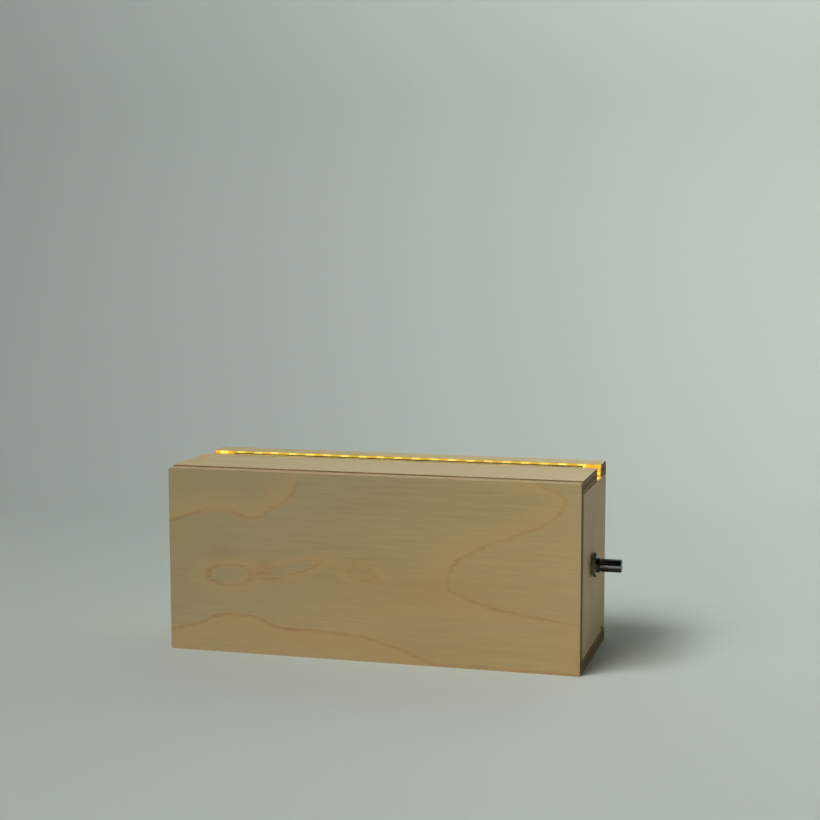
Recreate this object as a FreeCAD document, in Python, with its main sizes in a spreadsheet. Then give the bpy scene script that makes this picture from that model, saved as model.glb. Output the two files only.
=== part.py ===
import FreeCAD, Part
import math
import os

import Sketcher

# A wooden music box turned by a splined shaft.  Millimetres, +Z up, front of the case at -Y,
# the crank shaft on the right (+X).  The origin is the middle of the case's underside.

doc = FreeCAD.newDocument("hand_crank_music_box")
os.makedirs("parts", exist_ok=True)

# ---------------------------------------------------------------- driving dimensions
DIMENSIONS = [
    # case
    ("case_length", 195.0), ("case_depth", 70.0), ("front_height", 86.2), ("ply", 6.0),
    ("deck_rise", 0.7), ("slot_front", 43.6), ("slot_rear", 57.4), ("corner_round", 1.0),
    ("back_clearance", 0.2), ("post_side", 6.0), ("lead_notch_front", 60.0),
    ("lead_notch_length", 4.0), ("lead_notch_height", 2.0),
    # crank shaft and its bushing
    ("crank_inset", 32.0), ("crank_height", 44.1), ("shaft_diameter", 6.0), ("shaft_reach", 13.6),
    ("journal_diameter", 5.6), ("tip_chamfer", 0.3),
    ("shaft_length", 48.6), ("spline_length", 9.4), ("spline_radius", 0.22), ("spline_offset", 0.03),
    ("split_width", 1.0),
    ("split_depth", 9.4), ("running_clearance", 0.06), ("thread_diameter", 7.0),
    ("thread_reach", 3.7), ("flange_diameter", 12.0), ("flange_thickness", 2.0),
    ("panel_bore", 7.2), ("washer_diameter", 11.0), ("washer_thickness", 0.55),
    ("nut_flats", 10.0), ("nut_thickness", 1.75), ("nut_tilt", 31.0), ("clip_diameter", 11.0),
    ("clip_thickness", 0.7), ("clip_gap", 0.3),
    # gear pair
    ("gear_module", 0.8), ("pinion_teeth", 14), ("gear_teeth", 34), ("tooth_backlash", 0.12),
    ("pinion_hub_diameter", 12.0), ("pinion_hub_length", 5.2), ("pinion_width", 6.0),
    ("gear_width", 5.0), ("gear_hub_diameter", 10.0), ("gear_hub_length", 4.5),
    ("grub_diameter", 3.0),
    # movement
    ("bed_left", -20.0), ("bed_right", 84.0), ("bed_front", -20.0), ("bed_rear", 27.6),
    ("bed_thickness", 3.0), ("bracket_thickness", 3.0), ("bracket_half_width", 11.0),
    ("bracket_right_face", 67.0), ("bracket_left_face", -3.0), ("bracket_foot", 7.5),
    ("foot_thickness", 2.5), ("bracket_margin", 7.5), ("barrel_left", 4.0), ("barrel_length", 56.0),
    ("barrel_diameter", 20.0), ("barrel_wall", 1.0), ("disc_thickness", 2.0),
    ("boss_diameter", 6.0), ("arbor_diameter", 3.0), ("pin_diameter", 0.8), ("pin_height", 1.0),
    ("comb_teeth", 24), ("tooth_pitch", 2.3), ("tooth_slit", 0.3), ("tooth_length", 11.0),
    ("comb_heel", 8.0), ("comb_thickness", 1.6), ("tooth_relief", 0.5), ("tip_clearance", 0.2),
    # screws
    ("machine_screw", 3.0), ("machine_head", 5.5), ("head_height", 2.0), ("wood_screw", 2.6),
    # light tape in the slot
    ("tape_thickness", 0.3), ("tape_low", 80.9), ("tape_high", 86.7), ("tape_end_gap", 0.4),
    ("led_pitch", 9.0), ("led_first", -92.0), ("led_count", 21), ("led_length", 3.8),
    ("led_depth", 0.6), ("led_height", 1.2), ("led_low", 85.4), ("pad_length", 8.4),
    ("pad_height", 1.4), ("pad_depth", 0.3), ("pad_drop", 0.8), ("wire_diameter", 1.6), ("wire_gap", 0.7),
    ("wire_bend", 4.0), ("upper_wire_height", 85.3), ("lower_wire_height", 83.3),
    # battery holder and its cells
    ("holder_left", -84.0), ("holder_length", 52.0), ("holder_front", -23.0),
    ("holder_width", 39.6), ("holder_height", 13.0), ("holder_wall", 1.5), ("cell_diameter", 10.5),
    ("cell_length", 44.5), ("cell_gap", 0.3), ("contact_thickness", 0.5), ("bow_radius", 4.3),
    ("bow_reach", 3.4), ("bow_width", 5.0), ("bow_thickness", 0.3),
    # slide switch on the back panel
    ("switch_x", -60.0), ("switch_height", 45.0), ("switch_length", 12.0), ("switch_width", 8.0),
    ("switch_depth", 7.0), ("switch_plate", 0.5), ("switch_ears", 21.0), ("ear_screw_span", 16.6),
    ("knob_length", 4.0), ("knob_width", 3.6), ("switch_travel", 4.0), ("knob_clearance", 0.3),
]

sheet = doc.addObject("Spreadsheet::Sheet", "Sizes")
for row, (alias, value) in enumerate(DIMENSIONS, start=1):
    sheet.set("A%d" % row, alias)
    sheet.set("B%d" % row, str(value))
    sheet.setAlias("B%d" % row, alias)
doc.recompute()


def size(alias):
    """A driving dimension as a number, for the shapes made in code."""
    return float(sheet.get(alias))


# ---------------------------------------------------------------- positions, as expressions
def s(alias):
    return "Sizes." + alias


def add(*terms):
    return "(" + " + ".join(str(term) for term in terms) + ")"


def sub(first, *rest):
    return "(" + " - ".join([str(first)] + [str(term) for term in rest]) + ")"


def half(term):
    return "(%s / 2)" % term


def minus(term):
    return "(0 - %s)" % term


RIGHT = half(s("case_length"))
LEFT = minus(RIGHT)
RIGHT_INSIDE = sub(RIGHT, s("ply"))
LEFT_INSIDE = add(LEFT, s("ply"))
REAR = half(s("case_depth"))
FRONT = minus(REAR)
FRONT_INSIDE = add(FRONT, s("ply"))
REAR_INSIDE = sub(REAR, s("ply"))
DECK_TOP = add(s("front_height"), s("deck_rise"))
DECK_LOW = sub(DECK_TOP, s("ply"))
SLOT_FRONT = add(FRONT, s("slot_front"))
SLOT_REAR = add(FRONT, s("slot_rear"))

CRANK_Y = add(FRONT, s("crank_inset"))
CRANK_Z = s("crank_height")
SHAFT_END = add(RIGHT, s("shaft_reach"))
SHAFT_RADIUS = half(s("shaft_diameter"))
JOURNAL_RADIUS = half(s("journal_diameter"))
BORE_RADIUS = add(JOURNAL_RADIUS, s("running_clearance"))
BUSHING_BACK = sub(RIGHT_INSIDE, s("flange_thickness"))

CENTRE_DISTANCE = "(Sizes.gear_module * (Sizes.pinion_teeth + Sizes.gear_teeth) / 2)"
BARREL_Z = sub(CRANK_Z, CENTRE_DISTANCE)
ARBOR_RADIUS = half(s("arbor_diameter"))
BED_TOP = add(s("ply"), s("bed_thickness"))
BRACKET_R = s("bracket_right_face")
BRACKET_R_INNER = sub(BRACKET_R, s("bracket_thickness"))
BRACKET_L = s("bracket_left_face")
BRACKET_L_INNER = add(BRACKET_L, s("bracket_thickness"))
HUB_START = add(BRACKET_R, s("clip_gap"))
TEETH_START = add(HUB_START, s("pinion_hub_length"))
BARREL_RIGHT = add(s("barrel_left"), s("barrel_length"))
BARREL_RADIUS = half(s("barrel_diameter"))
COMB_WIDTH = "(Sizes.comb_teeth * Sizes.tooth_pitch)"
COMB_LEFT = sub(add(s("barrel_left"), half(s("barrel_length"))), half(COMB_WIDTH))
COMB_RIGHT = add(COMB_LEFT, COMB_WIDTH)
COMB_TIP = add(CRANK_Y, BARREL_RADIUS, s("pin_height"), s("tip_clearance"))
COMB_ROOT = add(COMB_TIP, s("tooth_length"))
COMB_REAR = add(COMB_ROOT, s("comb_heel"))
COMB_LOW = sub(BARREL_Z, half(s("comb_thickness")))
COMB_HIGH = add(BARREL_Z, half(s("comb_thickness")))

MACHINE_RADIUS = half(s("machine_screw"))
HEAD_RADIUS = half(s("machine_head"))
WOOD_RADIUS = half(s("wood_screw"))

TAPE_FACE = sub(SLOT_REAR, s("tape_thickness"))
TAPE_RIGHT = sub(RIGHT, s("tape_end_gap"))
PAD_LEFT = sub(TAPE_RIGHT, s("pad_length"))
WIRE_RADIUS = half(s("wire_diameter"))

HOLDER_RIGHT = add(s("holder_left"), s("holder_length"))
HOLDER_REAR = add(s("holder_front"), s("holder_width"))
HOLDER_FLOOR = add(s("ply"), s("holder_wall"))
HOLDER_TOP = add(s("ply"), s("holder_height"))
BAY_PITCH = "((Sizes.holder_width - Sizes.holder_wall) / 3)"

SWITCH_BODY_REAR = sub(REAR_INSIDE, s("switch_plate"))
SWITCH_BODY_FRONT = sub(SWITCH_BODY_REAR, s("switch_depth"))


# ---------------------------------------------------------------- bound shapes
ALONG = {
    "x": FreeCAD.Rotation(FreeCAD.Vector(0, 1, 0), 90),
    "y": FreeCAD.Rotation(FreeCAD.Vector(1, 0, 0), -90),
    "z": FreeCAD.Rotation(),
}
nodes = []


def bind(shape, **expressions):
    for name, expression in expressions.items():
        shape.setExpression(name.replace("__", "."), expression)
    return shape


def move_to(shape, x, y, z):
    shape.setExpression("Placement.Base.x", str(x))
    shape.setExpression("Placement.Base.y", str(y))
    shape.setExpression("Placement.Base.z", str(z))
    return shape


def box(label, x, y, z):
    """A block between two expressions along each axis."""
    block = doc.addObject("Part::Box", label)
    bind(block, Length=sub(x[1], x[0]), Width=sub(y[1], y[0]), Height=sub(z[1], z[0]))
    return move_to(block, x[0], y[0], z[0])


def around(middle, length):
    """The two ends of a span with a given middle."""
    return (sub(middle, half(length)), add(middle, half(length)))


def round_bar(label, axis, radius, start, end, across):
    """A cylinder along an axis, between start and end; across holds its other two coordinates."""
    bar = doc.addObject("Part::Cylinder", label)
    bar.Placement.Rotation = ALONG[axis]
    bind(bar, Radius=radius, Height=sub(end, start))
    place = {"x": (start, across[0], across[1]), "y": (across[0], start, across[1]),
             "z": (across[0], across[1], start)}
    return move_to(bar, *place[axis])


def cone(label, axis, first_radius, last_radius, start, end, across):
    taper = doc.addObject("Part::Cone", label)
    taper.Placement.Rotation = ALONG[axis]
    bind(taper, Radius1=first_radius, Radius2=last_radius, Height=sub(end, start))
    place = {"x": (start, across[0], across[1]), "y": (across[0], start, across[1]),
             "z": (across[0], across[1], start)}
    return move_to(taper, *place[axis])


def fuse(label, shapes):
    joined = doc.addObject("Part::MultiFuse", label)
    joined.Shapes = shapes
    return joined


def group(label, shapes):
    """Separate solids that share one node."""
    collection = doc.addObject("Part::Compound", label)
    collection.Links = shapes
    return collection


def cut(label, base, tools):
    cutter = tools[0] if len(tools) == 1 else group(label + "_tools", tools)
    result = doc.addObject("Part::Cut", label)
    result.Base = base
    result.Tool = cutter
    return result


def feature(label, shape):
    made = doc.addObject("Part::Feature", label)
    made.Shape = shape
    return made


def node(shape):
    nodes.append(shape)
    return shape


# ---------------------------------------------------------------- part design helpers
def floor_plane(body):
    return [item for item in body.Origin.OriginFeatures if item.Role == "XY_Plane"][0]


def sketch_on_floor(body, name, height):
    sketch = body.newObject("Sketcher::SketchObject", name)
    sketch.AttachmentSupport = (floor_plane(body), [""])
    sketch.MapMode = "FlatFace"
    sketch.setExpression("AttachmentOffset.Base.z", str(height))
    return sketch


def add_rectangle(sketch, left, right, front, rear):
    """A rectangle whose four sides are held by expressions."""
    first = sketch.GeometryCount
    corners = [(0, 0), (1, 0), (1, 1), (0, 1)]
    for number, corner in enumerate(corners):
        following = corners[(number + 1) % 4]
        sketch.addGeometry(Part.LineSegment(FreeCAD.Vector(*corner, 0), FreeCAD.Vector(*following, 0)))
    for number in range(4):
        sketch.addConstraint(
            Sketcher.Constraint("Coincident", first + number, 2, first + (number + 1) % 4, 1))
    for number in (0, 2):
        sketch.addConstraint(Sketcher.Constraint("Horizontal", first + number))
        sketch.addConstraint(Sketcher.Constraint("Vertical", first + number + 1))
    held = [("DistanceX", 0, 0, left), ("DistanceY", 0, 0, front),
            ("DistanceX", 2, 1, right), ("DistanceY", 2, 1, rear)]
    for kind, line, value, expression in held:
        index = sketch.addConstraint(Sketcher.Constraint(kind, -1, 1, first + line, 1, float(value)))
        sketch.setExpression("Constraints[%d]" % index, expression)


def add_circle(sketch, x, y, radius):
    first = sketch.addGeometry(Part.Circle(FreeCAD.Vector(0, 0, 0), FreeCAD.Vector(0, 0, 1), 1.0))
    held = [(Sketcher.Constraint("Radius", first, 1.0), radius),
            (Sketcher.Constraint("DistanceX", -1, 1, first, 3, 0.0), x),
            (Sketcher.Constraint("DistanceY", -1, 1, first, 3, 0.0), y)]
    for constraint, expression in held:
        index = sketch.addConstraint(constraint)
        sketch.setExpression("Constraints[%d]" % index, expression)


def padded_rectangle(label, x, y, z):
    """A body padded up from z[0] to z[1] over one rectangle."""
    body = doc.addObject("PartDesign::Body", label)
    sketch = sketch_on_floor(body, label + "_outline", z[0])
    add_rectangle(sketch, x[0], x[1], y[0], y[1])
    pad = body.newObject("PartDesign::Pad", label + "_pad")
    pad.Profile = sketch
    pad.setExpression("Length", sub(z[1], z[0]))
    return body


def pocket_down(body, sketch, depth):
    pocket = body.newObject("PartDesign::Pocket", sketch.Name + "_pocket")
    pocket.Profile = sketch
    pocket.setExpression("Length", depth)
    return pocket


# ---------------------------------------------------------------- screws
BED_SCREWS = [(x, y) for x in (-15.0, 80.0) for y in (-16.0, 23.6)]
BRACKET_SCREWS = [(x, y) for x in (-6.75, 70.0) for y in ("minus", "plus")]
COMB_SCREW_SPAN = 20.0
HOLDER_SCREWS = (-72.0, -44.0)
BACK_SCREW_HEIGHTS = (16.0, 70.0)


def bracket_screw_y(side):
    offset = sub(s("bracket_half_width"), 3)
    return sub(CRANK_Y, offset) if side == "minus" else add(CRANK_Y, offset)


def comb_screw_places():
    middle = add(COMB_LEFT, half(COMB_WIDTH))
    across = sub(COMB_REAR, half(s("comb_heel")))
    return [(add(middle, shift), across) for shift in (-COMB_SCREW_SPAN, 0, COMB_SCREW_SPAN)]


def countersunk_down(label, x, y, top, depth):
    """A countersunk screw pointing down, its head flush with top."""
    collar = sub(top, 1.4)
    head = cone(label + "_head", "z", WOOD_RADIUS, HEAD_RADIUS, collar, top, (x, y))
    shank = round_bar(label + "_shank", "z", WOOD_RADIUS, sub(top, depth), collar, (x, y))
    return fuse(label, [head, shank])


def countersunk_forward(label, x, z, rear, depth):
    """A countersunk screw pointing forward from a rear face."""
    collar = sub(rear, 1.4)
    head = cone(label + "_head", "y", WOOD_RADIUS, HEAD_RADIUS, collar, rear, (x, z))
    shank = round_bar(label + "_shank", "y", WOOD_RADIUS, sub(rear, depth), collar, (x, z))
    return fuse(label, [head, shank])


def cheese_head_down(label, x, y, seat, tip):
    """A slotted cheese-head screw pointing down, its head standing on seat."""
    head = round_bar(label + "_head", "z", HEAD_RADIUS, seat, add(seat, s("head_height")), (x, y))
    shank = round_bar(label + "_shank", "z", MACHINE_RADIUS, tip, seat, (x, y))
    slot = box(label + "_slot", (sub(x, HEAD_RADIUS, 1), add(x, HEAD_RADIUS, 1)),
               (sub(y, 0.4), add(y, 0.4)), (add(seat, 1.2), add(seat, s("head_height"), 1)))
    return cut(label, fuse(label + "_blank", [head, shank]), [slot])


# ---------------------------------------------------------------- case
def make_front_panel():
    body = padded_rectangle("front_panel", (LEFT, RIGHT), (FRONT, FRONT_INSIDE), (0, s("front_height")))
    doc.recompute()
    pad = body.Tip
    corners = []
    for number, edge in enumerate(pad.Shape.Edges, start=1):
        start, end = edge.Vertexes[0].Point, edge.Vertexes[-1].Point
        if abs(start.y - end.y) > 1 and abs(start.z - end.z) < 1:
            corners.append("Edge%d" % number)
    fillet = body.newObject("PartDesign::Fillet", "front_panel_corners")
    fillet.Base = (pad, corners)
    fillet.setExpression("Radius", s("corner_round"))
    return node(body)


def make_case():
    make_front_panel()
    floor = box("bottom_board_blank", (LEFT, RIGHT), (FRONT_INSIDE, REAR), (0, s("ply")))
    holes = [round_bar("bed_hole_%d" % number, "z", WOOD_RADIUS, 1, s("ply"), place)
             for number, place in enumerate(BED_SCREWS)]
    holes += [round_bar("holder_hole_%d" % number, "z", WOOD_RADIUS, 1, s("ply"), (x, CELL_MIDDLE))
              for number, x in enumerate(HOLDER_SCREWS)]
    node(cut("bottom_board", floor, holes))

    right = box("side_panel_right_blank", (RIGHT_INSIDE, RIGHT), (FRONT_INSIDE, REAR),
                (s("ply"), DECK_LOW))
    bore = round_bar("shaft_bore", "x", half(s("panel_bore")), sub(RIGHT_INSIDE, 1), add(RIGHT, 1),
                     (CRANK_Y, CRANK_Z))
    notch_front = add(FRONT, s("lead_notch_front"))
    notch = box("lead_notch", (sub(RIGHT_INSIDE, 1), add(RIGHT, 1)),
                (notch_front, add(notch_front, s("lead_notch_length"))),
                (sub(s("ply"), 1), add(s("ply"), s("lead_notch_height"))))
    node(cut("side_panel_right", right, [bore, notch]))
    node(box("side_panel_left", (LEFT, LEFT_INSIDE), (FRONT_INSIDE, REAR), (s("ply"), DECK_LOW)))

    node(box("top_front_board", (LEFT, RIGHT), (FRONT_INSIDE, SLOT_FRONT), (DECK_LOW, DECK_TOP)))
    node(box("top_rear_strip", (LEFT, RIGHT), (SLOT_REAR, REAR), (DECK_LOW, DECK_TOP)))

    posts = []
    panel_holes = []
    screws = []
    for name, edge, side in (("left", LEFT_INSIDE, 1), ("right", RIGHT_INSIDE, -1)):
        inner = add(edge, "(%d * Sizes.post_side)" % side)
        span = (edge, inner) if side > 0 else (inner, edge)
        middle = add(edge, "(%d * Sizes.post_side / 2)" % side)
        blank = box("post_%s_blank" % name, span, (sub(REAR_INSIDE, s("post_side")), REAR_INSIDE),
                    (s("ply"), DECK_LOW))
        post_holes = []
        for height in BACK_SCREW_HEIGHTS:
            tag = "%s_%d" % (name, height)
            post_holes.append(countersunk_forward("post_hole_" + tag, middle, height, REAR, 10))
            panel_holes.append(countersunk_forward("panel_hole_" + tag, middle, height, REAR, 10))
            screws.append(countersunk_forward("back_screw_" + tag, middle, height, REAR, 10))
        posts.append(cut("post_" + name, blank, post_holes))
    node(group("back_posts", posts))
    node(group("back_panel_screws", screws))

    clear = s("back_clearance")
    back = box("back_panel_blank", (add(LEFT_INSIDE, clear), sub(RIGHT_INSIDE, clear)),
               (REAR_INSIDE, REAR), (add(s("ply"), clear), sub(DECK_LOW, clear)))
    node(cut("back_panel", back, panel_holes + [switch_window()] + ear_screws("panel_ear")))


# ---------------------------------------------------------------- crank shaft
def make_crank_shaft():
    axis = (CRANK_Y, CRANK_Z)
    spline_start = sub(SHAFT_END, s("spline_length"))
    tip_start = sub(SHAFT_END, s("tip_chamfer"))
    bar = fuse("shaft_bar", [
        round_bar("shaft_journal", "x", JOURNAL_RADIUS, sub(SHAFT_END, s("shaft_length")), spline_start,
                  axis),
        round_bar("shaft_head", "x", SHAFT_RADIUS, spline_start, tip_start, axis),
        cone("shaft_tip", "x", SHAFT_RADIUS, sub(SHAFT_RADIUS, s("tip_chamfer")), tip_start, SHAFT_END, axis),
    ])
    grooves = []
    splines = 18
    for number in range(splines):
        turn = "%.3f" % (360.0 * number / splines)
        centre = (add(CRANK_Y, "(Sizes.shaft_diameter / 2 + Sizes.spline_offset) * cos(%s)" % turn),
                  add(CRANK_Z, "(Sizes.shaft_diameter / 2 + Sizes.spline_offset) * sin(%s)" % turn))
        grooves.append(round_bar("spline_groove_%d" % number, "x", s("spline_radius"), spline_start,
                                 add(SHAFT_END, 1), centre))
    split = box("shaft_split", (sub(SHAFT_END, s("split_depth")), add(SHAFT_END, 1)),
                (sub(CRANK_Y, s("shaft_diameter")), add(CRANK_Y, s("shaft_diameter"))),
                (sub(CRANK_Z, half(s("split_width"))), add(CRANK_Z, half(s("split_width")))))
    node(cut("crank_shaft", bar, grooves + [split]))


def make_bushing():
    axis = (CRANK_Y, CRANK_Z)
    thread_end = add(RIGHT, s("thread_reach"))
    thread = round_bar("bushing_thread", "x", half(s("thread_diameter")), BUSHING_BACK,
                       sub(thread_end, 0.4), axis)
    chamfer = cone("bushing_chamfer", "x", half(s("thread_diameter")), sub(half(s("thread_diameter")), 0.3),
                   sub(thread_end, 0.4), thread_end, axis)
    flange = round_bar("bushing_flange", "x", half(s("flange_diameter")), BUSHING_BACK, RIGHT_INSIDE, axis)
    bore = round_bar("bushing_bore", "x", BORE_RADIUS, sub(BUSHING_BACK, 1), add(thread_end, 1), axis)
    node(cut("shaft_bushing", fuse("bushing_blank", [thread, chamfer, flange]), [bore]))

    washer_face = add(RIGHT, s("washer_thickness"))
    disc = round_bar("washer_disc", "x", half(s("washer_diameter")), RIGHT, washer_face, axis)
    hole = round_bar("washer_hole", "x", half(s("panel_bore")), sub(RIGHT, 1), add(washer_face, 1), axis)
    node(cut("bushing_washer", disc, [hole]))

    nut = doc.addObject("Part::Prism", "nut_hexagon")
    nut.Polygon = 6
    turned = FreeCAD.Rotation(FreeCAD.Vector(1, 0, 0), 30 - size("nut_tilt"))
    nut.Placement.Rotation = turned.multiply(ALONG["x"])
    bind(nut, Circumradius="(Sizes.nut_flats / 2 / cos(30))", Height=s("nut_thickness"))
    move_to(nut, washer_face, CRANK_Y, CRANK_Z)
    nut_face = add(washer_face, s("nut_thickness"))
    tapped = round_bar("nut_thread", "x", half(s("thread_diameter")), sub(washer_face, 1),
                       add(nut_face, 1), axis)
    crown = cone("nut_crown", "x", "(Sizes.nut_flats / 2 / cos(30) + 0.9)", "(Sizes.nut_flats / 2)",
                 sub(nut_face, s("nut_thickness")), nut_face, axis)
    crowned = doc.addObject("Part::Common", "nut_blank")
    crowned.Base = nut
    crowned.Tool = crown
    node(cut("bushing_nut", crowned, [tapped]))

    clip_end = sub(BUSHING_BACK, s("clip_gap"))
    clip_start = sub(clip_end, s("clip_thickness"))
    ring = round_bar("clip_ring", "x", half(s("clip_diameter")), clip_start, clip_end, axis)
    grip = round_bar("clip_grip", "x", JOURNAL_RADIUS, sub(clip_start, 1), add(clip_end, 1), axis)
    mouth = box("clip_mouth", (sub(clip_start, 1), add(clip_end, 1)), around(CRANK_Y, 4.4),
                (sub(CRANK_Z, s("clip_diameter")), CRANK_Z))
    node(cut("shaft_clip", ring, [grip, mouth]))


# ---------------------------------------------------------------- gears
def involute_point(base_radius, radius):
    """Polar angle of an involute at a radius, from where it leaves the base circle."""
    pressure = math.acos(base_radius / radius)
    return math.tan(pressure) - pressure


def gear_outline(teeth, first_tooth_angle):
    """Closed outline of a 20 degree involute gear in the YZ plane, around the origin."""
    module = size("gear_module")
    pitch_radius = module * teeth / 2
    base_radius = pitch_radius * math.cos(math.radians(20))
    root_radius = pitch_radius - 1.25 * module
    tip_radius = pitch_radius + module
    half_tooth = (math.pi * module / 2 - size("tooth_backlash")) / 2 / pitch_radius
    at_pitch = involute_point(base_radius, pitch_radius)
    start = max(base_radius, root_radius)
    steps = 6
    flank = []
    for step in range(steps + 1):
        radius = start + (tip_radius - start) * step / steps
        flank.append((radius, half_tooth + at_pitch - involute_point(base_radius, radius)))
    if root_radius < base_radius:
        flank.insert(0, (root_radius, flank[0][1]))
    points = []
    for number in range(teeth):
        centre = math.radians(first_tooth_angle) + 2 * math.pi * number / teeth
        rising = [(radius, centre - angle) for radius, angle in flank]
        falling = [(radius, centre + angle) for radius, angle in reversed(flank)]
        for radius, angle in rising + falling:
            points.append(FreeCAD.Vector(0, radius * math.cos(angle), radius * math.sin(angle)))
    points.append(points[0])
    return Part.makePolygon(points)


def value(expression):
    """Number behind a position expression, for the shapes made in code."""
    probe = doc.addObject("App::FeaturePython", "probe")
    probe.addProperty("App::PropertyFloat", "Result")
    probe.setExpression("Result", expression)
    probe.recompute()
    result = probe.Result
    doc.removeObject(probe.Name)
    return result


def toothed_wheel(label, teeth, first_tooth_angle, width, start, centre_z, bore, hub):
    """A spur gear with a hub on its left side, bored along X."""
    hub_radius, hub_length = hub
    wheel = Part.Face(gear_outline(teeth, first_tooth_angle)).extrude(FreeCAD.Vector(width, 0, 0))
    outward = FreeCAD.Vector(1, 0, 0)
    boss = Part.makeCylinder(hub_radius, hub_length, FreeCAD.Vector(-hub_length, 0, 0), outward)
    hole = Part.makeCylinder(bore, width + hub_length + 2, FreeCAD.Vector(-hub_length - 1, 0, 0), outward)
    made = feature(label, wheel.fuse(boss).removeSplitter().cut(hole))
    return move_to(made, start, CRANK_Y, centre_z)


def make_gears():
    pinion_teeth = int(size("pinion_teeth"))
    gear_teeth = int(size("gear_teeth"))
    half_step = 180.0 / pinion_teeth
    pinion = toothed_wheel("pinion_blank", pinion_teeth, half_step - 90, size("pinion_width"), TEETH_START,
                           CRANK_Z, size("journal_diameter") / 2,
                           (size("pinion_hub_diameter") / 2, size("pinion_hub_length")))
    grub_x = add(HUB_START, half(s("pinion_hub_length")))
    hub_top = add(CRANK_Z, half(s("pinion_hub_diameter")))
    grub_place = (grub_x, CRANK_Y)
    tapped = round_bar("grub_hole", "z", half(s("grub_diameter")), CRANK_Z, add(hub_top, 1), grub_place)
    node(cut("crank_pinion", pinion, [tapped]))
    screw = round_bar("grub_bar", "z", half(s("grub_diameter")), add(CRANK_Z, JOURNAL_RADIUS, 0.1),
                      sub(hub_top, 0.1), grub_place)
    socket = doc.addObject("Part::Prism", "grub_socket")
    socket.Polygon = 6
    bind(socket, Circumradius="0.8", Height="3")
    move_to(socket, grub_x, CRANK_Y, sub(hub_top, 1.3))
    node(cut("pinion_grub_screw", screw, [socket]))

    gear_hub = (size("gear_hub_diameter") / 2, size("gear_hub_length"))
    node(toothed_wheel("cylinder_gear", gear_teeth, 90.0, size("gear_width"), add(TEETH_START, 0.5), BARREL_Z,
                       size("arbor_diameter") / 2, gear_hub))


# ---------------------------------------------------------------- pinned cylinder
def make_cylinder():
    axis = (CRANK_Y, BARREL_Z)
    left = s("barrel_left")
    inner_radius = sub(BARREL_RADIUS, s("barrel_wall"))
    outside = round_bar("barrel_outside", "x", BARREL_RADIUS, left, BARREL_RIGHT, axis)
    inside = round_bar("barrel_inside", "x", inner_radius, sub(left, 1), add(BARREL_RIGHT, 1), axis)
    pins = melody_pins("cylinder_pins")
    holes = melody_pins("pin_holes")
    node(cut("cylinder_tube", outside, [inside, holes]))
    node(pins)

    discs = []
    spans = (
        ("left", (left, add(left, s("disc_thickness"))), (add(BRACKET_L_INNER, s("clip_gap")), left)),
        ("right", (sub(BARREL_RIGHT, s("disc_thickness")), BARREL_RIGHT),
         (BARREL_RIGHT, sub(BRACKET_R_INNER, s("clip_gap")))),
    )
    for side, plate, boss in spans:
        label = "disc_" + side
        blank = fuse(label + "_blank", [
            round_bar(label + "_plate", "x", inner_radius, plate[0], plate[1], axis),
            round_bar(label + "_boss", "x", half(s("boss_diameter")), boss[0], boss[1], axis),
        ])
        bore = round_bar(label + "_bore", "x", ARBOR_RADIUS, sub(BRACKET_L, 1), add(BRACKET_R, 1), axis)
        discs.append(cut(label, blank, [bore]))
    node(group("cylinder_end_discs", discs))

    gear_face = add(TEETH_START, 0.5, s("gear_width"), 1)
    node(round_bar("cylinder_arbor", "x", ARBOR_RADIUS, sub(BRACKET_L, 3), gear_face, axis))


def melody_pins(label):
    """Steel pins through the tube wall, three to a comb tooth, stepped round the tune."""
    radius = size("pin_diameter") / 2
    inner = size("barrel_diameter") / 2 - size("barrel_wall")
    length = size("barrel_wall") + size("pin_height")
    teeth = int(size("comb_teeth"))
    first = (size("barrel_length") - teeth * size("tooth_pitch")) / 2 + size("tooth_pitch") / 2
    beats = 52
    pins = []
    for tooth in range(teeth):
        for note in range(3):
            beat = (5 * tooth + 17 * note + (tooth * note) % 7) % beats
            angle = 2 * math.pi * beat / beats
            outward = FreeCAD.Vector(0, math.cos(angle), math.sin(angle))
            foot = FreeCAD.Vector(first + tooth * size("tooth_pitch"), 0, 0) + outward * inner
            pins.append(Part.makeCylinder(radius, length, foot, outward))
    made = feature(label, Part.makeCompound(pins))
    return move_to(made, s("barrel_left"), CRANK_Y, BARREL_Z)


# ---------------------------------------------------------------- comb, bedplate and brackets
def make_comb():
    body = padded_rectangle("comb", (COMB_LEFT, COMB_RIGHT), (COMB_TIP, COMB_REAR), (COMB_LOW, COMB_HIGH))
    slit = sketch_on_floor(body, "comb_slit", COMB_HIGH)
    first_slit = add(COMB_LEFT, s("tooth_pitch"))
    add_rectangle(slit, sub(first_slit, half(s("tooth_slit"))), add(first_slit, half(s("tooth_slit"))),
                  sub(COMB_TIP, 1), COMB_ROOT)
    doc.recompute()
    pocket = pocket_down(body, slit, s("comb_thickness"))
    doc.recompute()
    pattern = body.newObject("PartDesign::LinearPattern", "comb_slits")
    pattern.Originals = [pocket]
    pattern.Direction = (slit, ["H_Axis"])
    pattern.Occurrences = int(size("comb_teeth")) - 1
    pattern.setExpression("Length", "(Sizes.tooth_pitch * (Sizes.comb_teeth - 2))")
    body.Tip = pattern
    doc.recompute()
    relief = sketch_on_floor(body, "comb_relief", add(COMB_LOW, s("tooth_relief")))
    add_rectangle(relief, sub(COMB_LEFT, 1), add(COMB_RIGHT, 1), sub(COMB_TIP, 1), sub(COMB_ROOT, 4))
    pocket_down(body, relief, add(s("tooth_relief"), 1))
    holes = sketch_on_floor(body, "comb_holes", COMB_HIGH)
    for x, y in comb_screw_places():
        add_circle(holes, x, y, MACHINE_RADIUS)
    pocket_down(body, holes, s("comb_thickness"))
    node(body)


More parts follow.
